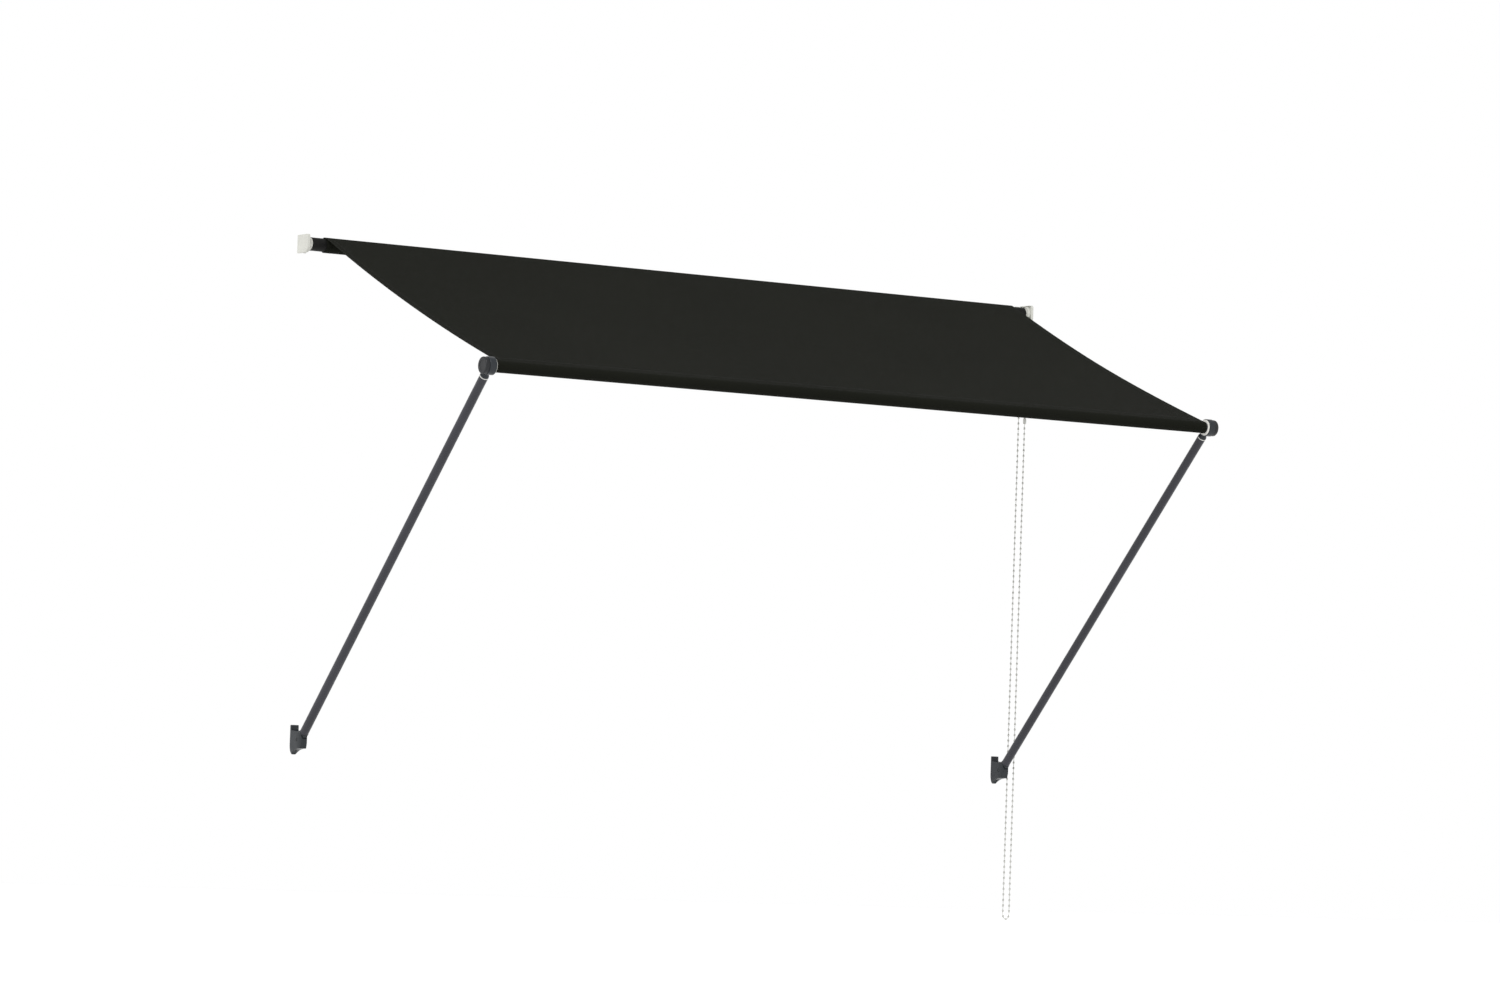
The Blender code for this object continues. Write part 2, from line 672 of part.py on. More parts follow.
def make_arm_collar(side):
    """Thin nylon ring on the head's spigot, between its neck and the arm tube's end."""
    high = -HEAD_RADIUS - HEAD_NECK - SEAT_GAP
    outer = ARM_RADIUS + ARM_COLLAR_PROUD
    profile = tube_profile(high - ARM_COLLAR, high, outer, ARM_RADIUS - ARM_WALL)
    ring = turned(profile, MEDIUM, "Z")
    bmesh.ops.translate(ring, vec=(ARM_INBOARD, 0.0, 0.0), verts=ring.verts)
    spot = (end_x(side), 0.0, 0.0)
    make_object("arm_collar_" + side, for_side(ring, side), NYLON, parent=bar_axis, location=spot)


def make_arm_tube(side):
    start = KNUCKLE_SHOULDER + KNUCKLE_COLLAR + SEAT_GAP
    end = ARM_LENGTH - HEAD_RADIUS - HEAD_NECK - ARM_COLLAR - 2 * SEAT_GAP
    tube = turned(tube_profile(start, end, ARM_RADIUS, ARM_RADIUS - ARM_WALL), MEDIUM, "Z")
    bmesh.ops.translate(tube, vec=(ARM_INBOARD, 0.0, 0.0), verts=tube.verts)
    spot = (end_x(side), 0.0, 0.0)
    make_object("arm_tube_" + side, for_side(tube, side), ARM_PAINT, parent=arm_axis, location=spot)


def make_knuckle(side):
    """Tongue between the wall bracket's ears, a collar, and a spigot that fits in the arm tube."""
    spot = (end_x(side), 0.0, 0.0)
    outline = arc((0.0, 0.0), KNUCKLE_RADIUS, 180.0, 360.0, 16)
    outline += [(KNUCKLE_RADIUS, KNUCKLE_SHOULDER + KNUCKLE_COLLAR / 2)]
    outline += [(-KNUCKLE_RADIUS, KNUCKLE_SHOULDER + KNUCKLE_COLLAR / 2)]
    tongue = prism(outline, ARM_INBOARD - KNUCKLE_WIDTH / 2, ARM_INBOARD + KNUCKLE_WIDTH / 2)
    name = "arm_knuckle_" + side
    knuckle = make_object(name, for_side(tongue, side), CAST_PAINT, parent=arm_axis, location=spot)
    collar_end = KNUCKLE_SHOULDER + KNUCKLE_COLLAR
    spigot = ARM_RADIUS - ARM_WALL - SEAT_GAP
    collar = ARM_RADIUS + 0.0006
    profile = [
        (KNUCKLE_SHOULDER, 0.0), (KNUCKLE_SHOULDER, collar), (collar_end, collar), (collar_end, spigot),
        (collar_end + KNUCKLE_SPIGOT - 0.002, spigot), (collar_end + KNUCKLE_SPIGOT, spigot - 0.002),
        (collar_end + KNUCKLE_SPIGOT, 0.0),
    ]
    stem = turned(profile, COARSE, "Z")
    bmesh.ops.translate(stem, vec=(ARM_INBOARD, 0.0, 0.0), verts=stem.verts)
    tool = make_object("knuckle_stem_" + side, for_side(stem, side), parent=arm_axis, location=spot)
    combine(knuckle, tool, "UNION")
    bore = PIVOT_PIN_RADIUS + PIVOT_BUSH_WALL + 2 * SEAT_GAP
    reach = ARM_INBOARD + FOOT_WIDTH
    cutter = turned([(0.0, 0.0), (0.0, bore), (reach, bore), (reach, 0.0)], COARSE)
    tool = make_object("knuckle_bore_" + side, for_side(cutter, side), parent=arm_axis, location=spot)
    combine(knuckle, tool, "DIFFERENCE")


def make_pivot_bush(side):
    half = KNUCKLE_WIDTH / 2 + SEAT_GAP
    inner = PIVOT_PIN_RADIUS + SEAT_GAP
    profile = tube_profile(ARM_INBOARD - half, ARM_INBOARD + half, inner + PIVOT_BUSH_WALL, inner)
    made = for_side(turned(profile, COARSE), side)
    make_object("pivot_bush_" + side, made, NYLON, parent=arm_axis, location=(end_x(side), 0.0, 0.0))


def foot_outline():
    """Wall bracket from its side: flat back, shoulder, nose with a lower corner, hollow underside."""
    corner = (-FOOT_PLATE - FOOT_NECK_FILLET, FOOT_SHOULDER + FOOT_NECK_FILLET)
    neck = arc(corner, FOOT_NECK_FILLET, 0.0, -90.0, 4)
    nose = arc((-PIVOT_OUT, 0.0), FOOT_EAR_RADIUS, 90.0, 205.0, 13)
    out, down = FOOT_NOSE_CORNER
    nose += [(-out - 0.0010, -down + 0.0020), (-out, -down + 0.0003)]
    start = out - 0.002
    hollow = []
    for i in range(13):
        angle = math.radians(90.0 * i / 12)
        hollow.append((
            -start + (start - FOOT_PLATE) * math.sin(angle),
            -FOOT_BOTTOM + (FOOT_BOTTOM - down) * math.cos(angle),
        ))
    return [(0.0, FOOT_TOP), (-FOOT_PLATE, FOOT_TOP)] + neck + nose + hollow + [(0.0, -FOOT_BOTTOM)]


def foot_shield():
    """Wall bracket from the front, as (x, z): straight sides that close to a rounded tip."""
    half = FOOT_WIDTH / 2
    rounded = 0.002
    corner = arc((half - rounded, FOOT_TOP - rounded), rounded, 0.0, 90.0, 3)
    taper = []
    for i in range(9):
        angle = math.radians(90.0 * i / 8)
        taper.append((
            FOOT_TIP_WIDTH / 2 + (half - FOOT_TIP_WIDTH / 2) * math.cos(angle),
            -FOOT_TIP_START - (FOOT_BOTTOM - FOOT_TIP_START) * math.sin(angle),
        ))
    right = list(reversed(taper)) + corner
    return right + [(-x, z) for x, z in reversed(right)]


def foot_plan():
    """Wall bracket from above, as (x, y): flat back and a nose with rounded sides."""
    half = FOOT_WIDTH / 2
    front = -PIVOT_OUT - FOOT_EAR_RADIUS - 0.001
    deep = 0.030
    side = []
    for i in range(9):
        angle = math.radians(90.0 * i / 8)
        side.append((half * (0.55 + 0.45 * math.cos(angle)), front + deep * (1.0 - math.sin(angle))))
    return [(half, 0.01)] + side + [(-x, y) for x, y in reversed(side)] + [(-half, 0.01)]


def standing_prism(outline, low, high, upright):
    """Outline in (x, z) drawn along Y, or in (x, y) drawn along Z."""
    bm = bmesh.new()
    rings = []
    for level in (low, high):
        if upright:
            rings.append([bm.verts.new((ARM_INBOARD + x, y, level)) for x, y in outline])
        else:
            rings.append([bm.verts.new((ARM_INBOARD + x, level, z)) for x, z in outline])
    near, far = rings
    for i in range(len(outline)):
        j = (i + 1) % len(outline)
        bm.faces.new((near[i], near[j], far[j], far[i]))
    bm.faces.new(near)
    bm.faces.new(far)
    bmesh.ops.recalc_face_normals(bm, faces=bm.faces)
    return bm


def cut_foot_back(foot, side, spot):
    """A screw hole through the lower tip, and a blind keyhole in the back of the upper tab."""
    radius = FOOT_SCREW_HOLE / 2
    entry = KEYHOLE_HEAD / 2
    holes = (
        ("screw", radius, -0.04, -FOOT_SCREW_LOW),
        ("entry", entry, -KEYHOLE_DEPTH, FOOT_SCREW_HIGH - KEYHOLE_TRAVEL),
    )
    for name, reach, deep, height in holes:
        profile = [(0.01, 0.0), (0.01, reach), (deep, reach), (deep, 0.0)]
        hole = turned(profile, 16, "Y", 0.0, height)
        bmesh.ops.translate(hole, vec=(ARM_INBOARD, 0.0, 0.0), verts=hole.verts)
        tool = make_object("foot_%s_%s" % (name, side), for_side(hole, side), location=spot)
        combine(foot, tool, "DIFFERENCE")
    low = FOOT_SCREW_HIGH - KEYHOLE_TRAVEL
    tracks = (
        ("neck", radius, 0.01, -KEYHOLE_LIP - 0.0002),
        ("undercut", entry * 0.98, -KEYHOLE_LIP, -KEYHOLE_DEPTH * 0.97),
    )
    for name, reach, front, deep in tracks:
        track = box(
            (ARM_INBOARD - reach, deep, low),
            (ARM_INBOARD + reach, front, FOOT_SCREW_HIGH + radius),
        )
        tool = make_object("foot_%s_%s" % (name, side), for_side(track, side), location=spot)
        combine(foot, tool, "DIFFERENCE")


def make_foot(side):
    """Cast wall bracket whose pocket, open above and in front, holds the arm's pivot."""
    spot = (end_x(side), 0.0, -DROP)
    low = ARM_INBOARD - FOOT_WIDTH / 2
    high = ARM_INBOARD + FOOT_WIDTH / 2
    casting = prism(foot_outline(), low - 0.001, high + 0.001)
    foot = make_object("wall_bracket_" + side, for_side(casting, side), CAST_PAINT, location=spot)
    shield = standing_prism(foot_shield(), -0.08, 0.01, False)
    tool = make_object("foot_shield_" + side, for_side(shield, side), location=spot)
    combine(foot, tool, "INTERSECT")
    plan = standing_prism(foot_plan(), -0.06, 0.06, True)
    tool = make_object("foot_plan_" + side, for_side(plan, side), location=spot)
    combine(foot, tool, "INTERSECT")

    radius = KNUCKLE_RADIUS + FOOT_POCKET_GAP
    lowest = 180.0 + math.degrees(FOOT_POCKET_LEAN)
    pocket = arc((-PIVOT_OUT, 0.0), radius, 360.0, lowest, 14)
    reach = 0.06
    exit_y = pocket[-1][0] - reach * math.sin(FOOT_POCKET_LEAN)
    exit_z = pocket[-1][1] + reach * math.cos(FOOT_POCKET_LEAN)
    pocket += [(exit_y, exit_z), (exit_y, reach), (-PIVOT_OUT + radius, reach)]
    half_slot = KNUCKLE_WIDTH / 2 + RUN_GAP
    slot = prism(pocket, ARM_INBOARD - half_slot, ARM_INBOARD + half_slot)
    combine(foot, make_object("foot_slot_" + side, for_side(slot, side), location=spot), "DIFFERENCE")

    bore = PIVOT_PIN_RADIUS + SEAT_GAP
    profile = [(low - 0.01, 0.0), (low - 0.01, bore), (high + 0.01, bore), (high + 0.01, 0.0)]
    hole = turned(profile, COARSE, "X", -PIVOT_OUT)
    tool = make_object("foot_bore_" + side, for_side(hole, side), location=spot)
    combine(foot, tool, "DIFFERENCE")
    cut_foot_back(foot, side, spot)


def make_pivot_pin(side):
    """Plain pin through both ears of the wall bracket, with chamfered ends just below their faces."""
    start = ARM_INBOARD - FOOT_WIDTH / 2 + PIVOT_PIN_SUNK
    end = ARM_INBOARD + FOOT_WIDTH / 2 - PIVOT_PIN_SUNK
    chamfer = 0.0006
    profile = [
        (start, 0.0), (start, PIVOT_PIN_RADIUS - chamfer), (start + chamfer, PIVOT_PIN_RADIUS),
        (end - chamfer, PIVOT_PIN_RADIUS), (end, PIVOT_PIN_RADIUS - chamfer), (end, 0.0),
    ]
    pin = for_side(turned(profile, COARSE), side)
    make_object("pivot_pin_" + side, pin, PIN_STEEL, location=(end_x(side), -PIVOT_OUT, -DROP))


make_front_bar()
for side in SIDES:
    make_knob(side)
    make_arm_head(side)
    make_head_bush(side)
    make_arm_collar(side)
    make_arm_tube(side)
    make_knuckle(side)
    make_pivot_bush(side)
    make_foot(side)
    make_pivot_pin(side)


def chain_route():
    """Middle line of the bead chain as (out, up), over the wheel and round the bottom."""
    radius = WHEEL_PITCH_RADIUS
    top_angle = CHAIN_SPLIT / radius
    over = 10
    straight = (CHAIN_POINTS - 4 * over) // 2
    bottom = -CHAIN_DROP + radius
    points = [(radius * math.sin(a), radius * math.cos(a)) for a in
              (top_angle + (math.pi / 2 - top_angle) * i / over for i in range(over))]
    points += [(radius, bottom * i / straight) for i in range(straight)]
    for i in range(2 * over + 1):
        angle = math.pi / 2 + math.pi * i / (2 * over)
        points.append((radius * math.sin(angle), bottom + radius * math.cos(angle)))
    points += [(-radius, bottom * (straight - i) / straight) for i in range(1, straight + 1)]
    points += [(-radius * math.sin(a), radius * math.cos(a)) for a in
               (top_angle + (math.pi / 2 - top_angle) * i / over for i in range(over - 1, -1, -1))]
    return points


def make_chain():
    """The whole loop as a plain tube of the beads' diameter, open at the joint on the wheel's top."""
    curve = bpy.data.curves.new("bead_chain", "CURVE")
    curve.dimensions = "3D"
    curve.bevel_depth = BEAD_RADIUS
    curve.bevel_resolution = 2
    curve.use_fill_caps = True
    curve.materials.append(BEAD_PLASTIC)
    route = chain_route()
    spline = curve.splines.new("POLY")
    spline.points.add(len(route) - 1)
    for point, (out, up) in zip(spline.points, route):
        point.co = (SPAN - WHEEL_INBOARD, -ROLLER_OUT - out, up, 1.0)
    chain = bpy.data.objects.new("bead_chain", curve)
    bpy.context.collection.objects.link(chain)


def make_connector():
    """Barrel shaped clip that joins the chain's ends, closed round the front strand."""
    half = CONNECTOR_LENGTH / 2
    bore = BEAD_RADIUS + SEAT_GAP
    profile = [(-half, bore)]
    for i in range(7):
        angle = math.radians(180.0 * i / 6)
        swell = bore + 0.0006 + (CONNECTOR_RADIUS - bore - 0.0006) * math.sin(angle)
        profile.append((-half * math.cos(angle), swell))
    profile.append((half, bore))
    clip = turned(profile, 16, "Z", -WHEEL_PITCH_RADIUS, -CONNECTOR_BELOW)
    make_object("chain_connector", clip, BEAD_PLASTIC, location=(SPAN - WHEEL_INBOARD, -ROLLER_OUT, 0.0))


make_chain()
make_connector()
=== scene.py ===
"""Looks of the wall awning: canvas, bead chain, finishes, studio and camera. Metres, +Z up."""
import json
import math

import bmesh
import bpy
from mathutils import Matrix, Vector


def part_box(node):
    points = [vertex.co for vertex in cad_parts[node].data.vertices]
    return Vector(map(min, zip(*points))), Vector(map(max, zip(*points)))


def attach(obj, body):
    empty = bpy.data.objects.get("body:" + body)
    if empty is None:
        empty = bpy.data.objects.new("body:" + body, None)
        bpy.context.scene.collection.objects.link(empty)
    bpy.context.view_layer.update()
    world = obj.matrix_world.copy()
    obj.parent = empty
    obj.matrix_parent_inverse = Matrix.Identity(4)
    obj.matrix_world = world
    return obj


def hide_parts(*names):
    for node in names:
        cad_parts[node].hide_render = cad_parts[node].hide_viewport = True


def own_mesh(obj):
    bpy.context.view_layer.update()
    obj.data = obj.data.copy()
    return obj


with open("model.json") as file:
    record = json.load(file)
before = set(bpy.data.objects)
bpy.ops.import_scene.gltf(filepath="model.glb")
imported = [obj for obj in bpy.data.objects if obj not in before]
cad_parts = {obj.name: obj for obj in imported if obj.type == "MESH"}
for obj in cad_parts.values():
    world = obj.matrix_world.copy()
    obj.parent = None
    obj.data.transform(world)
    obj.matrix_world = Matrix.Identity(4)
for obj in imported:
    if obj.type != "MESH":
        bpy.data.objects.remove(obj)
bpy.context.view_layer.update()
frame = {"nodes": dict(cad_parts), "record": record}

# Camera, fitted to the photograph
CAMERA_AT = (-7.524, -13.928, -1.614)
CAMERA_YAW = math.radians(33.06)
CAMERA_PITCH = math.radians(3.39)
CAMERA_ROLL = math.radians(2.0)
FOCAL_PIXELS = 5600.0
PHOTO_WIDTH = 1500.0
SENSOR_MM = 36.0
CAMERA_REACH = 200.0

# Angles over which faces of the modelled parts, of other pieces and of cloth are shaded smooth
SMOOTH_ANGLE = math.radians(34.0)
PIECE_SMOOTH_ANGLE = math.radians(38.0)
CLOTH_SMOOTH_ANGLE = math.radians(50.0)

# Studio
FLOOR_LEVEL = -2.75
FLOOR_HALF = 60.0
FLOOR_COLOUR = (0.93, 0.93, 0.925, 1.0)
WORLD_STRENGTH = 1.0
KEY_STRENGTH = 2.2
KEY_SPREAD = math.radians(24.0)
KEY_FROM = (-0.75, -0.55, 1.0)
OVERHEAD_SHADE = 0.6
SHADE_START = 0.30
SHADE_END = 0.75

# Canvas
CLOTH_THICKNESS = 0.0005
CLOTH_SAG = 0.014
SEAT_GAP = 0.0003
ROLL_TURNS = 3.5
ROLL_GAP = 0.00015
ROLL_STEPS = 72
ROLL_OVERLAP = 0.016
POCKET_STEPS = 48
POCKET_SEAM = 0.024
POCKET_HEM = 0.012
POCKET_ZONE = 0.038
SHEET_ROWS = 72
HEM_WIDTH = 0.024
HEM_EXTRA = 0.0006
HEM_STEP = 0.0012
HEM_ABOVE = 0.2
HEM_BELOW = 0.8
EDGE_ROUNDING = 0.0005
EDGE_SHARE = 0.35
COLUMNS = 120
TURN_COLUMNS = 6
LEAD_STEPS = 8
ZONE_STEPS = 10
SEAM_STEPS = 6
HEM_STEPS = 4
WEAVE_PERIOD = 0.0011
SLUB_SHARE = 0.55
CLOUD_SHARE = 0.45
CANVAS_GLOSS = 0.06

# Ripples of the canvas
RIPPLE = 0.0012
RIPPLE_FADE = 1.5
SLOW_WAVES = 1.6
SLOW_PHASE = 0.15
SLOW_SKEW = 0.2
TENSION_WAVES = 7.0
TENSION_SKEW = 0.4
TENSION_SHARE = 0.35
EDGE_DIP = 2.2
EDGE_FALL = 26.0

# Stitches, with the shape of one as shares of its length, width and rise
STITCH_PITCH = 0.0055
STITCH_LENGTH = 0.0038
STITCH_WIDTH = 0.0009
STITCH_RISE = 0.00035
STITCH_SPINE = ((-0.5, -0.4), (-0.28, 0.8), (0.28, 0.8), (0.5, -0.4))
STITCH_SECTION = ((-0.5, -0.5), (-0.3, 0.5), (0.3, 0.5), (0.5, -0.5))
SIDE_ROW_INSET = 0.004
SIDE_ROW_START_SHARE = 0.004
SIDE_ROW_END_GAP = 0.003
POCKET_ROW_INSET = 0.003
LOOK_AHEAD = 0.001

# Bead chain
WHEEL_PITCH_RADIUS = 0.016
BEAD_RADIUS = 0.0030
WHEEL_POCKETS = 6
BEAD_PITCH = WHEEL_PITCH_RADIUS * math.tau / WHEEL_POCKETS
BEAD_STRETCH = 1.5
BEAD_SEGMENTS = 14
BEAD_RINGS = 9
THREAD_RADIUS = 0.0009
THREAD_SIDES = 8
ROUTE_BEND_STEPS = 24
ROUTE_STRAIGHT_STEPS = 60
CHAIN_DROP = 1.852
CHAIN_SPLIT = 0.0009

# Texture nodes: most noise's range, radians of a wave at scale 1, and sockets of the colour mix
NOISE_LOW = 0.3
NOISE_HIGH = 0.7
WAVE_RADIANS = 20.0
MIX_FACTOR = 0
MIX_FIRST = 6
MIX_SECOND = 7
MIX_RESULT = 2


def make_camera():
    forward = Vector((
        math.sin(CAMERA_YAW) * math.cos(CAMERA_PITCH),
        math.cos(CAMERA_YAW) * math.cos(CAMERA_PITCH),
        math.sin(CAMERA_PITCH),
    ))
    level = Vector((math.cos(CAMERA_YAW), -math.sin(CAMERA_YAW), 0.0))
    upright = level.cross(forward)
    right = level * math.cos(CAMERA_ROLL) + upright * math.sin(CAMERA_ROLL)
    up = upright * math.cos(CAMERA_ROLL) - level * math.sin(CAMERA_ROLL)
    turn = Matrix((right, up, -forward)).transposed()
    data = bpy.data.cameras.new("camera")
    data.sensor_width = SENSOR_MM
    data.lens = FOCAL_PIXELS * SENSOR_MM / PHOTO_WIDTH
    data.clip_end = CAMERA_REACH
    camera = bpy.data.objects.new("camera", data)
    camera.matrix_world = Matrix.Translation(Vector(CAMERA_AT)) @ turn.to_4x4()
    bpy.context.collection.objects.link(camera)
    bpy.context.scene.camera = camera


make_camera()


def linear(channel):
    """Linear light value of one 0-255 screen channel."""
    share = channel / 255.0
    if share <= 0.04045:
        return share / 12.92
    return ((share + 0.055) / 1.055) ** 2.4


def screen(red, green, blue):
    return (linear(red), linear(green), linear(blue), 1.0)


class Finish:
    """One material and short helpers that add its texture nodes."""

    def __init__(self, name, colour, roughness, metallic=0.0):
        self.material = bpy.data.materials.new(name)
        self.material.use_nodes = True
        self.tree = self.material.node_tree
        self.shader = self.tree.nodes["Principled BSDF"]
        self.shader.inputs["Base Color"].default_value = colour
        self.shader.inputs["Roughness"].default_value = roughness
        self.shader.inputs["Metallic"].default_value = metallic
        self.colour = colour
        self.roughness = roughness
        coordinates = self.tree.nodes.new("ShaderNodeTexCoord")
        self.place = coordinates.outputs["Object"]
        self.flat = coordinates.outputs["UV"]
        self.height = None

    def link(self, start, end):
        self.tree.links.new(start, end)

    def value(self, socket, number):
        self.shader.inputs[socket].default_value = number

    def noise(self, scale, detail=3.0, where=None, stretch=None):
        node = self.tree.nodes.new("ShaderNodeTexNoise")
        node.inputs["Scale"].default_value = scale
        node.inputs["Detail"].default_value = detail
        source = where or self.place
        if stretch:
            mapping = self.tree.nodes.new("ShaderNodeMapping")
            mapping.inputs["Scale"].default_value = stretch
            self.link(source, mapping.inputs["Vector"])
            source = mapping.outputs["Vector"]
        self.link(source, node.inputs["Vector"])
        return node.outputs["Fac"]

    def waves(self, period, across, where):
        """Sine bands of one period in metres, 'X' or 'Y' of the place given."""
        node = self.tree.nodes.new("ShaderNodeTexWave")
        node.bands_direction = across
        node.inputs["Scale"].default_value = math.tau / period / WAVE_RADIANS
        self.link(where, node.inputs["Vector"])
        return node.outputs["Fac"]

    def math(self, operation, first, second):
        node = self.tree.nodes.new("ShaderNodeMath")
        node.operation = operation
        for socket, given in zip(node.inputs, (first, second)):
            if isinstance(given, (int, float)):
                socket.default_value = given
            else:
                self.link(given, socket)
        return node.outputs["Value"]

    def spread(self, factor, low, high):
        """The factor mapped from the range of most noise onto low to high."""
        node = self.tree.nodes.new("ShaderNodeMapRange")
        node.inputs["From Min"].default_value = NOISE_LOW
        node.inputs["From Max"].default_value = NOISE_HIGH
        node.inputs["To Min"].default_value = low
        node.inputs["To Max"].default_value = high
        self.link(factor, node.inputs["Value"])
        return node.outputs["Result"]

    def tint(self, factor, darker, lighter):
        """Base colour that runs between two shares of the finish's own colour."""
        share = self.spread(factor, 0.0, 1.0)
        node = self.tree.nodes.new("ShaderNodeMix")
        node.data_type = "RGBA"
        for socket, strength in ((MIX_FIRST, darker), (MIX_SECOND, lighter)):
            mixed = [channel * strength for channel in self.colour[:3]]
            node.inputs[socket].default_value = mixed + [1.0]
        self.link(share, node.inputs[MIX_FACTOR])
        self.link(node.outputs[MIX_RESULT], self.shader.inputs["Base Color"])

    def rough(self, factor, amount):
        made = self.spread(factor, self.roughness - amount, self.roughness + amount)
        self.link(made, self.shader.inputs["Roughness"])

    def bump(self, factor, depth, strength=1.0):
        """Relief of a depth in metres, laid over what is there already."""
        node = self.tree.nodes.new("ShaderNodeBump")
        node.inputs["Strength"].default_value = strength
        node.inputs["Distance"].default_value = depth
        self.link(factor, node.inputs["Height"])
        if self.height is not None:
            self.link(self.height, node.inputs["Normal"])
        self.height = node.outputs["Normal"]
        self.link(self.height, self.shader.inputs["Normal"])


def powder_coat(name, colour, roughness, metallic, grain, depth, gloss=0.5):
    """Fine orange peel over a satin coat, with faint cloudiness and rubbed patches."""
    finish = Finish(name, colour, roughness, metallic)
    finish.tint(finish.noise(scale=7.0, detail=4.0), darker=0.86, lighter=1.16)
    finish.rough(finish.noise(scale=38.0), amount=0.06)
    finish.bump(finish.noise(grain, detail=2.0), depth)
    finish.value("Specular IOR Level", gloss)
    return finish.material


def moulded(name, colour, roughness, grain=900.0, depth=0.00003, gloss=0.5):
    """Moulded plastic: faint spark-eroded grain and slight unevenness."""
    finish = Finish(name, colour, roughness)
    finish.tint(finish.noise(scale=16.0), darker=0.95, lighter=1.03)
    finish.rough(finish.noise(scale=55.0), amount=0.05)
    finish.bump(finish.noise(grain, detail=2.0), depth)
    finish.value("Specular IOR Level", gloss)
    return finish.material


def brushed(name, colour, roughness, stretch):
    """Metal with fine lines along one direction."""
    finish = Finish(name, colour, roughness, metallic=1.0)
    lines = finish.noise(scale=700.0, detail=2.0, stretch=stretch)
    finish.tint(finish.noise(scale=20.0), darker=0.85, lighter=1.05)
    finish.rough(lines, amount=0.08)
    finish.bump(lines, depth=0.00002)
    return finish.material


def canvas(name, colour):
    """Plain weave acrylic canvas: crossing yarns, slub, and faint cloudiness."""
    finish = Finish(name, colour, roughness=0.88)
    warp = finish.waves(WEAVE_PERIOD, "X", finish.flat)
    weft = finish.waves(WEAVE_PERIOD, "Y", finish.flat)
    yarns = finish.math("MAXIMUM", warp, weft)
    slub = finish.noise(scale=240.0, detail=2.0, where=finish.flat, stretch=(1.0, 0.12, 1.0))
    cloud = finish.noise(scale=2.3, detail=4.0, where=finish.flat)
    fleck = finish.math("MULTIPLY", slub, SLUB_SHARE)
    shade = finish.math("ADD", fleck, finish.math("MULTIPLY", cloud, CLOUD_SHARE))
    finish.tint(shade, darker=0.84, lighter=1.14)
    finish.rough(slub, amount=0.05)
    finish.bump(yarns, depth=0.00022, strength=0.9)
    finish.bump(slub, depth=0.00010, strength=0.5)
    finish.value("Specular IOR Level", CANVAS_GLOSS)
    return finish.material


CANVAS = canvas("canvas", screen(21, 22, 17))
THREAD = moulded("thread", screen(25, 26, 22), roughness=0.75, grain=2500.0, depth=0.00004)
ARM_PAINT = powder_coat(
    "arm_paint", screen(44, 44, 51), roughness=0.4, metallic=0.25, grain=1300.0, depth=0.00003,
)
CAST_PAINT = powder_coat(
    "cast_paint", screen(36, 40, 44), roughness=0.34, metallic=0.1, grain=900.0, depth=0.00003,
    gloss=0.32,
)
WHITE_PAINT = powder_coat(
    "white_paint", screen(190, 190, 184), roughness=0.4, metallic=0.0, grain=1100.0, depth=0.00004,
)
ROLLER_METAL = powder_coat(
    "roller_metal", screen(14, 14, 13), roughness=0.55, metallic=0.0, grain=1500.0, depth=0.00003,
    gloss=0.15,
)
KNOB_PLASTIC = moulded(
    "knob_plastic", screen(30, 31, 33), roughness=0.42, grain=800.0, depth=0.00004, gloss=0.3,
)
WHITE_PLASTIC = moulded("white_plastic", screen(190, 190, 183), roughness=0.42)
NYLON = moulded("nylon", screen(214, 213, 207), roughness=0.5)
BEAD_PLASTIC = moulded("bead_plastic", screen(192, 192, 187), roughness=0.38)
ZINC = brushed("zinc_steel", screen(176, 178, 180), roughness=0.35, stretch=(0.05, 1.0, 1.0))
PIN_STEEL = powder_coat(
    "pin_steel", screen(30, 33, 36), roughness=0.42, metallic=0.3, grain=900.0, depth=0.00004,
)

FINISH_OF_SLOT = {
    "white_paint": WHITE_PAINT,
    "white_plastic": WHITE_PLASTIC,
    "zinc_steel": ZINC,
    "roller_metal": ROLLER_METAL,
    "nylon": NYLON,
    "canvas": CANVAS,
    "arm_paint": ARM_PAINT,
    "knob_plastic": KNOB_PLASTIC,
    "cast_paint": CAST_PAINT,
    "bead_plastic": BEAD_PLASTIC,
    "pin_steel": PIN_STEEL,
}


def weigh_normals(mesh):
    """Shade smooth over small angles, with each corner leaning to the largest faces there."""
    around = [[] for _ in mesh.vertices]
    for face in mesh.polygons:
        for vert in face.vertices:
            around[vert].append(face)
    closest = math.cos(SMOOTH_ANGLE)
    normals = [Vector((0.0, 0.0, 1.0))] * len(mesh.loops)
    for face in mesh.polygons:
        for loop, vert in zip(face.loop_indices, face.vertices):
            total = Vector((0.0, 0.0, 0.0))
            for other in around[vert]:
                if other.normal.dot(face.normal) > closest:
                    total += other.normal * other.area
            normals[loop] = total.normalized()
    mesh.normals_split_custom_set(normals)


def dress_nodes():
    """The modelled nodes keep their shape and take their slot's finish."""
    for entry in frame["record"]["subparts"]:
        node = frame["nodes"][entry["node"]]
        node.data.materials.clear()
        node.data.materials.append(FINISH_OF_SLOT[entry["material_slot"]])
        weigh_normals(node.data)


dress_nodes()


def middle(node):
    low, high = (Vector(corner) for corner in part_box(node))
    return (low + high) / 2


def add_mesh(name, bm, materials, smooth_angle=PIECE_SMOOTH_ANGLE):
    """A new object of the mesh built so far, with smooth shading up to an angle."""
    mesh = bpy.data.meshes.new(name)
    bm.to_mesh(mesh)
    bm.free()
    mesh.shade_smooth()
    mesh.set_sharp_from_angle(angle=smooth_angle)
    for material in materials:
        mesh.materials.append(material)
    made = bpy.data.objects.new(name, mesh)
    bpy.context.collection.objects.link(made)
    return made


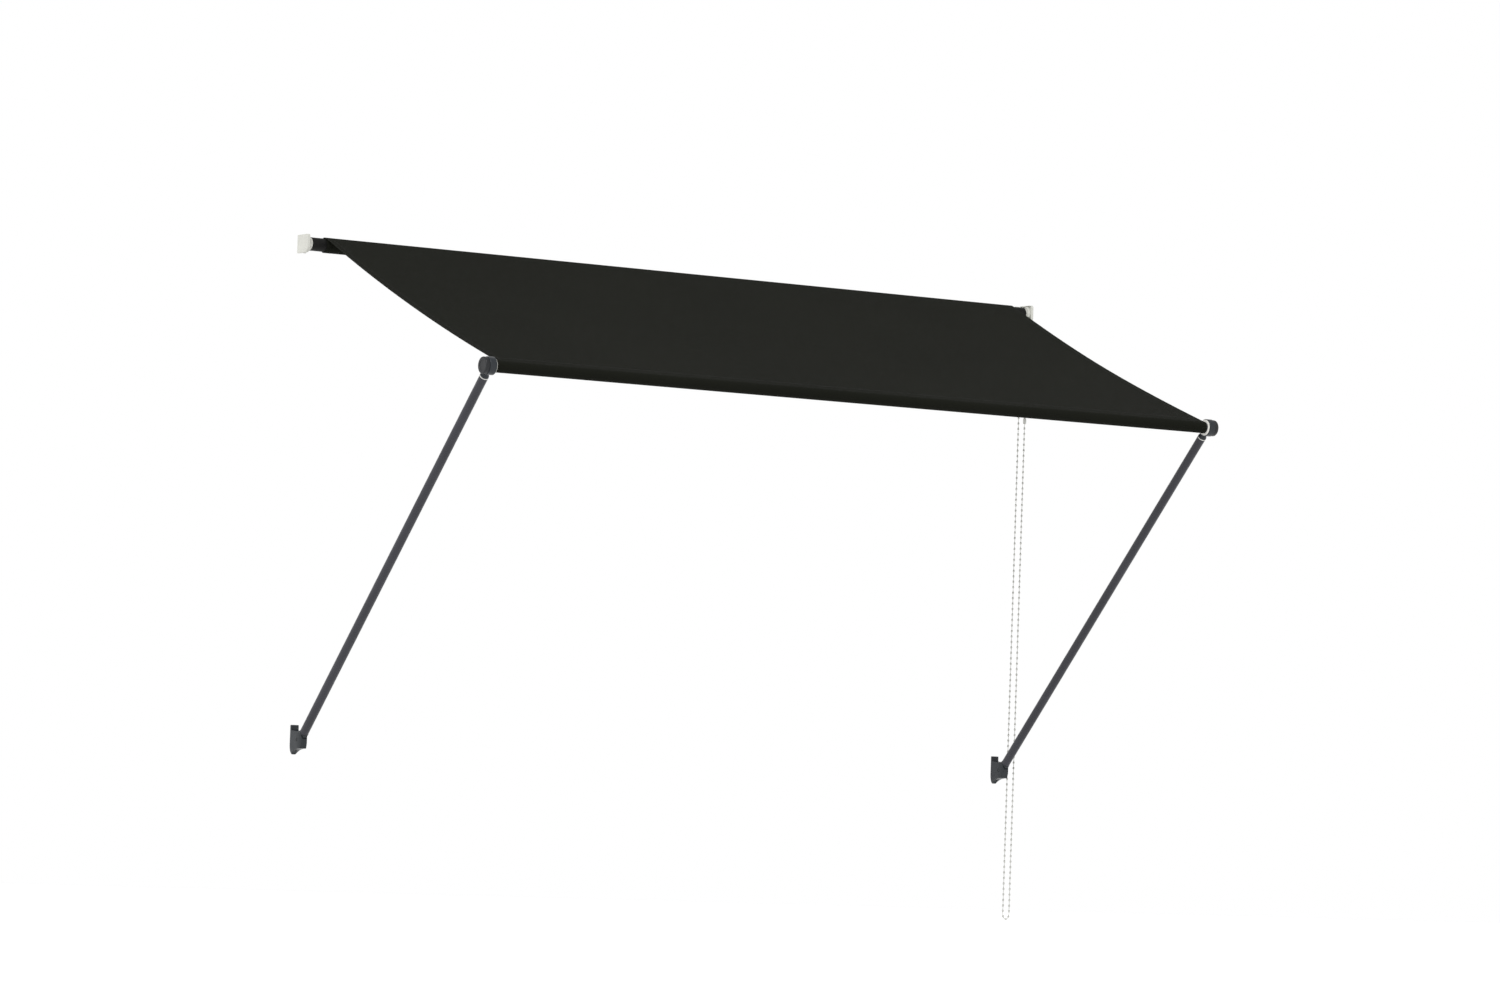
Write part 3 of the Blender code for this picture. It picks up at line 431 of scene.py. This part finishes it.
# The cloth's path is worked out in (out, up): out from the wall, and up.
ROLLER_AXIS = middle("roller_tube")
BAR_AXIS = middle("front_bar")
ROLLER = Vector((-ROLLER_AXIS.y, ROLLER_AXIS.z))
BAR = Vector((-BAR_AXIS.y, BAR_AXIS.z))
TUBE_RADIUS = (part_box("roller_tube")[1][2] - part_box("roller_tube")[0][2]) / 2
BAR_RADIUS = (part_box("front_bar")[1][2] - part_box("front_bar")[0][2]) / 2
CLOTH_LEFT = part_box("canopy_cloth")[0][0]
CLOTH_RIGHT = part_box("canopy_cloth")[1][0]


def on_circle(centre, radius, angle):
    """Point at an angle from straight up towards outward, as (out, up)."""
    return centre + radius * Vector((math.sin(angle), math.cos(angle)))


class ClothPath:
    """Turns on the roller, sagging sheet, and pocket round the bar, as middle lines."""

    def __init__(self):
        first = TUBE_RADIUS + SEAT_GAP + CLOTH_THICKNESS / 2
        roll = first + ROLL_TURNS * (CLOTH_THICKNESS + ROLL_GAP)
        pocket = BAR_RADIUS + SEAT_GAP + CLOTH_THICKNESS / 2
        apart = BAR - ROLLER
        # A parabola's ends slope by four times its sag over its span.
        slope = math.atan2(-apart.y, apart.x) + math.asin((roll - pocket) / apart.length)
        dip = math.asin(4.0 * CLOTH_SAG / apart.length)
        self.leave = slope + dip
        self.arrive = slope - dip
        self.first, self.roll, self.pocket = first, roll, pocket
        self.start = on_circle(ROLLER, roll, self.leave)
        self.end = on_circle(BAR, pocket, self.arrive)
        self.down_start = Vector((math.cos(self.leave), -math.sin(self.leave)))
        self.down_end = Vector((math.cos(self.arrive), -math.sin(self.arrive)))
        across = self.end - self.start
        turn = self.down_start.x * self.down_end.y - self.down_start.y * self.down_end.x
        reach = (across.x * self.down_end.y - across.y * self.down_end.x) / turn
        self.corner = self.start + reach * self.down_start

    def roll_point(self, share):
        """Point of the roll, from share 0 at the tube to share 1 where the sheet leaves it."""
        angle = self.leave - math.tau * ROLL_TURNS * (1.0 - share)
        return on_circle(ROLLER, self.first + (self.roll - self.first) * share, angle)

    def turns(self):
        """The roll up to where the sheet's own piece begins, a little before it leaves."""
        last = 1.0 - ROLL_OVERLAP / self.roll / (math.tau * ROLL_TURNS)
        steps = round(ROLL_TURNS * ROLL_STEPS)
        return [self.roll_point(last * i / steps) for i in range(steps + 1)]

    def lead_in(self):
        """The roll's last stretch, which belongs to the sheet and bridges their joint."""
        first = 1.0 - ROLL_OVERLAP / self.roll / (math.tau * ROLL_TURNS)
        stretch = 1.0 - first
        return [self.roll_point(first + stretch * i / LEAD_STEPS) for i in range(LEAD_STEPS)]

    def sheet(self, share):
        return (
            (1 - share) ** 2 * self.start
            + 2 * share * (1 - share) * self.corner
            + share ** 2 * self.end
        )

    def wrap(self):
        """Round the bar and back under the sheet, from just past the sheet's end."""
        under = Vector((math.sin(self.arrive), math.cos(self.arrive)))
        seam = self.end - POCKET_SEAM * self.down_end - (CLOTH_THICKNESS + SEAT_GAP) * under
        back = seam - BAR
        last = math.atan2(back.x, back.y) - math.acos(self.pocket / back.length) + math.tau
        points = []
        for i in range(1, POCKET_STEPS + 1):
            angle = self.arrive + (last - self.arrive) * i / POCKET_STEPS
            points.append(on_circle(BAR, self.pocket, angle))
        tail = points[-1]
        points += [tail.lerp(seam, i / SEAM_STEPS) for i in range(1, SEAM_STEPS + 1)]
        hem = POCKET_HEM * self.down_end
        points += [seam - hem * i / HEM_STEPS for i in range(1, HEM_STEPS + 1)]
        return points


PATH = ClothPath()
SHEET_LENGTH = (PATH.end - PATH.start).length


def columns(count):
    """Places along the width, with close pairs where the side hems' inner edges step."""
    width = CLOTH_RIGHT - CLOTH_LEFT
    clear = width - 2 * HEM_WIDTH
    inner = [CLOTH_LEFT + HEM_WIDTH + clear * i / count for i in range(count + 1)]
    insets = (0.0, EDGE_ROUNDING, HEM_WIDTH / 2, HEM_WIDTH - HEM_STEP)
    left = [CLOTH_LEFT + inset for inset in insets]
    right = [CLOTH_LEFT + CLOTH_RIGHT - x for x in reversed(left)]
    return left + inner + right


def hem_share(x):
    """1 on a side hem, 0 between the hems, and rounded off at the very edge."""
    inboard = min(x - CLOTH_LEFT, CLOTH_RIGHT - x)
    if inboard < EDGE_ROUNDING / 2:
        return EDGE_SHARE
    return 1.0 if inboard < HEM_WIDTH - HEM_STEP / 2 else 0.0


def ripple(x, share):
    """Faint unevenness of tensioned cloth, none where it meets the roller and the bar."""
    ends = math.sin(math.pi * share) ** RIPPLE_FADE
    width = CLOTH_RIGHT - CLOTH_LEFT
    place = (x - CLOTH_LEFT) / width
    across = math.sin(math.tau * (SLOW_WAVES * place + SLOW_PHASE))
    slow = across * math.sin(math.pi * (share + SLOW_SKEW * place))
    tension = math.sin(math.tau * (TENSION_WAVES * place + TENSION_SKEW * share)) * TENSION_SHARE
    edge = EDGE_DIP * math.exp(-min(place, 1 - place) * EDGE_FALL)
    return RIPPLE * ends * (slow + tension - edge)


def cloth_mesh(name, line, shares=None, seams=(), start=0.0, count=COLUMNS):
    """Thin closed cloth over a line of (out, up) points; shares say where on the sheet each is."""
    places = columns(count)
    bm = bmesh.new()
    flat = bm.loops.layers.uv.new("UVMap")
    top, bottom, where = [], [], {}
    along = start
    for i, point in enumerate(line):
        before, after = line[max(i - 1, 0)], line[min(i + 1, len(line) - 1)]
        way = (after - before).normalized()
        normal = Vector((-way.y, way.x))
        if i:
            along += (point - line[i - 1]).length
        upper, lower = [], []
        for x in places:
            lift = ripple(x, shares[i]) if shares else 0.0
            hem = HEM_EXTRA * hem_share(x)
            over = point + normal * (CLOTH_THICKNESS / 2 + HEM_ABOVE * hem + lift)
            below = point - normal * (CLOTH_THICKNESS / 2 + HEM_BELOW * hem - lift)
            for spot, row in ((over, upper), (below, lower)):
                vert = bm.verts.new((x, -spot.x, spot.y))
                where[vert] = (x, along)
                row.append(vert)
        top.append(upper)
        bottom.append(lower)
    last_row, last_column = len(line) - 1, len(places) - 1
    faces = []
    for i in range(last_row):
        for j in range(last_column):
            for sheet in (top, bottom):
                near, far = sheet[i], sheet[i + 1]
                faces.append((near[j], near[j + 1], far[j + 1], far[j]))
        for j in (0, last_column):
            faces.append((top[i][j], top[i + 1][j], bottom[i + 1][j], bottom[i][j]))
    for j in range(last_column):
        for i in (0, last_row):
            faces.append((top[i][j], top[i][j + 1], bottom[i][j + 1], bottom[i][j]))
    for corners in faces:
        face = bm.faces.new(corners)
        for loop in face.loops:
            loop[flat].uv = where[loop.vert]
    bmesh.ops.recalc_face_normals(bm, faces=bm.faces)
    for centre, way, up in seams:
        add_stitch(bm, centre, way, up)
    made = add_mesh(name, bm, [CANVAS, THREAD], CLOTH_SMOOTH_ANGLE)
    return made


def add_stitch(bm, centre, way, up):
    """One stitch: a low loaf of thread that dips into the cloth at both ends."""
    side = way.cross(up)
    rings = []
    for along, rise in STITCH_SPINE:
        spine = centre + way * STITCH_LENGTH * along
        ring = []
        for across, height in STITCH_SECTION:
            lift = STITCH_RISE * (rise + height)
            ring.append(bm.verts.new(spine + side * STITCH_WIDTH * across + up * lift))
        rings.append(ring)
    made = []
    for near, far in zip(rings, rings[1:]):
        for i in range(len(STITCH_SECTION)):
            j = (i + 1) % len(STITCH_SECTION)
            made.append(bm.faces.new((near[i], near[j], far[j], far[i])))
    made.append(bm.faces.new(reversed(rings[0])))
    made.append(bm.faces.new(rings[-1]))
    for face in made:
        face.material_index = 1


def row_frame(spot):
    """A place or direction given as (out, up), in the row frame."""
    return Vector((0.0, -spot.x, spot.y))


def sheet_frame(share):
    """Point of the sheet, its direction towards the bar and its normal, as (out, up)."""
    here, ahead = PATH.sheet(share), PATH.sheet(share + LOOK_AHEAD)
    way = (ahead - here).normalized()
    return here, way, Vector((-way.y, way.x))


def side_stitches(first, last):
    """Two rows down each side hem, between two shares of the sheet."""
    seams = []
    count = int((last - first) * SHEET_LENGTH / STITCH_PITCH)
    for row in (SIDE_ROW_INSET, HEM_WIDTH - SIDE_ROW_INSET):
        for x in (CLOTH_LEFT + row, CLOTH_RIGHT - row):
            for i in range(count):
                share = first + (last - first) * (i + 0.5) / count
                here, way, normal = sheet_frame(share)
                lift = CLOTH_THICKNESS / 2 + HEM_ABOVE * HEM_EXTRA + ripple(x, share)
                spot = here + normal * lift
                centre = Vector((x, -spot.x, spot.y))
                seams.append((centre, row_frame(way), row_frame(normal)))
    return seams


def pocket_stitches():
    """Two rows along the width that close the front bar's pocket."""
    seams = []
    count = int((CLOTH_RIGHT - CLOTH_LEFT) / STITCH_PITCH)
    first = POCKET_SEAM + POCKET_ROW_INSET
    second = POCKET_SEAM + POCKET_HEM - SIDE_ROW_INSET
    for back in (first, second):
        share = 1.0 - back / SHEET_LENGTH
        here, way, normal = sheet_frame(share)
        for i in range(count):
            x = CLOTH_LEFT + (CLOTH_RIGHT - CLOTH_LEFT) * (i + 0.5) / count
            hem = HEM_ABOVE * HEM_EXTRA * hem_share(x)
            lift = CLOTH_THICKNESS / 2 + hem + ripple(x, share)
            spot = here + normal * lift
            centre = Vector((x, -spot.x, spot.y))
            seams.append((centre, Vector((1.0, 0.0, 0.0)), row_frame(normal)))
    return seams


def length_of(line):
    return sum((b - a).length for a, b in zip(line, line[1:]))


def make_canopy():
    """The roll turns with the tube, the pocket with the bar, and the sheet rides with the bar
    between them.

    The front bar keeps its own angle in line with the cloth, so the sheet rides on it.
    """
    turn_line = PATH.turns()
    turns = cloth_mesh("canopy_turns", turn_line, count=TURN_COLUMNS)
    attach(turns, "roller")
    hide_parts("canopy_cloth")

    split = 1.0 - POCKET_ZONE / SHEET_LENGTH
    lead = PATH.lead_in()
    shares = [0.0] * len(lead) + [split * i / SHEET_ROWS for i in range(SHEET_ROWS + 1)]
    line = lead + [PATH.sheet(share) for share in shares[len(lead):]]
    reached = length_of(turn_line)
    seams = side_stitches(SIDE_ROW_START_SHARE, split)
    sheet = cloth_mesh("canopy_sheet", line, shares, seams, reached)
    reached += length_of(line)
    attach(sheet, "front_bar")
    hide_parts("canopy_cloth")
    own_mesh(sheet)

    wrap = PATH.wrap()
    shares = [split + (1.0 - split) * i / ZONE_STEPS for i in range(ZONE_STEPS + 1)]
    line = [PATH.sheet(share) for share in shares] + wrap
    shares += [1.0] * len(wrap)
    seams = side_stitches(split, 1.0 - SIDE_ROW_END_GAP / SHEET_LENGTH) + pocket_stitches()
    pocket = cloth_mesh("canopy_pocket", line, shares, seams, reached)
    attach(pocket, "front_bar")
    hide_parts("canopy_cloth")


make_canopy()


def chain_route():
    """The loop's middle line in the row frame, over the wheel and round the bottom."""
    radius = WHEEL_PITCH_RADIUS
    top_angle = CHAIN_SPLIT / radius
    bottom = -CHAIN_DROP + radius
    over, straight = ROUTE_BEND_STEPS, ROUTE_STRAIGHT_STEPS
    flat = []
    for i in range(over):
        angle = top_angle + (math.pi / 2 - top_angle) * i / over
        flat.append((radius * math.sin(angle), radius * math.cos(angle)))
    flat += [(radius, bottom * i / straight) for i in range(straight)]
    for i in range(2 * over + 1):
        angle = math.pi / 2 + math.pi * i / (2 * over)
        flat.append((radius * math.sin(angle), bottom + radius * math.cos(angle)))
    flat += [(-radius, bottom * (straight - i) / straight) for i in range(1, straight + 1)]
    for i in range(over - 1, -1, -1):
        angle = top_angle + (math.pi / 2 - top_angle) * i / over
        flat.append((-radius * math.sin(angle), radius * math.cos(angle)))
    x = middle("bead_chain").x
    return [Vector((x, ROLLER_AXIS.y - out, ROLLER_AXIS.z + up)) for out, up in flat]


def spaced(route, pitch):
    """Points at even steps along a route, each with the route's direction there."""
    found, wanted, done = [], pitch / 2, 0.0
    for here, ahead in zip(route, route[1:]):
        length = (ahead - here).length
        while wanted <= done + length:
            found.append((here.lerp(ahead, (wanted - done) / length), (ahead - here).normalized()))
            wanted += pitch
        done += length
    return found


def bead_shape():
    """Corners and faces of one oval bead, long side along Z."""
    half = BEAD_RADIUS * BEAD_STRETCH
    corners = [Vector((0.0, 0.0, half))]
    for ring in range(1, BEAD_RINGS):
        fall = math.pi * ring / BEAD_RINGS
        reach = BEAD_RADIUS * math.sin(fall)
        for k in range(BEAD_SEGMENTS):
            turn = math.tau * k / BEAD_SEGMENTS
            spot = (reach * math.cos(turn), reach * math.sin(turn), half * math.cos(fall))
            corners.append(Vector(spot))
    corners.append(Vector((0.0, 0.0, -half)))
    last = len(corners) - 1
    faces = []
    for k in range(BEAD_SEGMENTS):
        beside = (k + 1) % BEAD_SEGMENTS
        faces.append((0, 1 + k, 1 + beside))
        for ring in range(BEAD_RINGS - 2):
            near, far = 1 + ring * BEAD_SEGMENTS, 1 + (ring + 1) * BEAD_SEGMENTS
            faces.append((near + k, far + k, far + beside, near + beside))
        base = last - BEAD_SEGMENTS
        faces.append((base + k, last, base + beside))
    return corners, faces


def make_chain():
    """Oval beads on a thread, as one mesh that follows the plain tube's line."""
    route = chain_route()
    length = length_of(route)
    count = round(length / BEAD_PITCH)
    bm = bmesh.new()
    rings = []
    for i, point in enumerate(route):
        way = (route[min(i + 1, len(route) - 1)] - route[max(i - 1, 0)]).normalized()
        across = Vector((1.0, 0.0, 0.0))
        other = way.cross(across)
        rings.append([
            bm.verts.new(point + THREAD_RADIUS * (across * math.cos(a) + other * math.sin(a)))
            for a in (math.tau * k / THREAD_SIDES for k in range(THREAD_SIDES))
        ])
    for near, far in zip(rings, rings[1:]):
        for i in range(THREAD_SIDES):
            j = (i + 1) % THREAD_SIDES
            bm.faces.new((near[i], near[j], far[j], far[i]))
    bm.faces.new(rings[0])
    bm.faces.new(rings[-1])
    corners, faces = bead_shape()
    for centre, way in spaced(route, length / count):
        turn = way.to_track_quat("Z", "X")
        bead = [bm.verts.new(centre + turn @ corner) for corner in corners]
        for face in faces:
            bm.faces.new([bead[i] for i in face])
    bmesh.ops.recalc_face_normals(bm, faces=bm.faces)
    chain = add_mesh("bead_loop", bm, [BEAD_PLASTIC])
    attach(chain, "wall_side")
    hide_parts("bead_chain")


make_chain()


def make_floor():
    bm = bmesh.new()
    corners = ((-1, -1), (1, -1), (1, 1), (-1, 1))
    bm.faces.new([bm.verts.new((x * FLOOR_HALF, y * FLOOR_HALF, FLOOR_LEVEL)) for x, y in corners])
    finish = Finish("floor", FLOOR_COLOUR, roughness=0.8)
    finish.tint(finish.noise(scale=0.6, detail=2.0), darker=0.995, lighter=1.005)
    bmesh.ops.recalc_face_normals(bm, faces=bm.faces)
    floor = add_mesh("floor", bm, [finish.material])


def make_world():
    world = bpy.data.worlds.new("studio")
    world.use_nodes = True
    tree = world.node_tree
    background = tree.nodes["Background"]
    background.inputs["Strength"].default_value = WORLD_STRENGTH
    direction = tree.nodes.new("ShaderNodeTexCoord")
    parts = tree.nodes.new("ShaderNodeSeparateXYZ")
    height = tree.nodes.new("ShaderNodeMapRange")
    height.inputs["From Min"].default_value = SHADE_START
    height.inputs["From Max"].default_value = SHADE_END
    height.inputs["To Min"].default_value = 1.0
    height.inputs["To Max"].default_value = OVERHEAD_SHADE
    tree.links.new(direction.outputs["Generated"], parts.inputs["Vector"])
    tree.links.new(parts.outputs["Z"], height.inputs["Value"])
    tree.links.new(height.outputs["Result"], background.inputs["Color"])
    bpy.context.scene.world = world


def make_key_light():
    """One broad soft light from above, the left and the front."""
    data = bpy.data.lights.new("key", "SUN")
    data.energy = KEY_STRENGTH
    data.angle = KEY_SPREAD
    light = bpy.data.objects.new("key", data)
    light.rotation_euler = (-Vector(KEY_FROM)).to_track_quat("-Z", "Y").to_euler()
    bpy.context.collection.objects.link(light)


bpy.context.scene.view_settings.view_transform = "Standard"
make_floor()
make_world()
make_key_light()
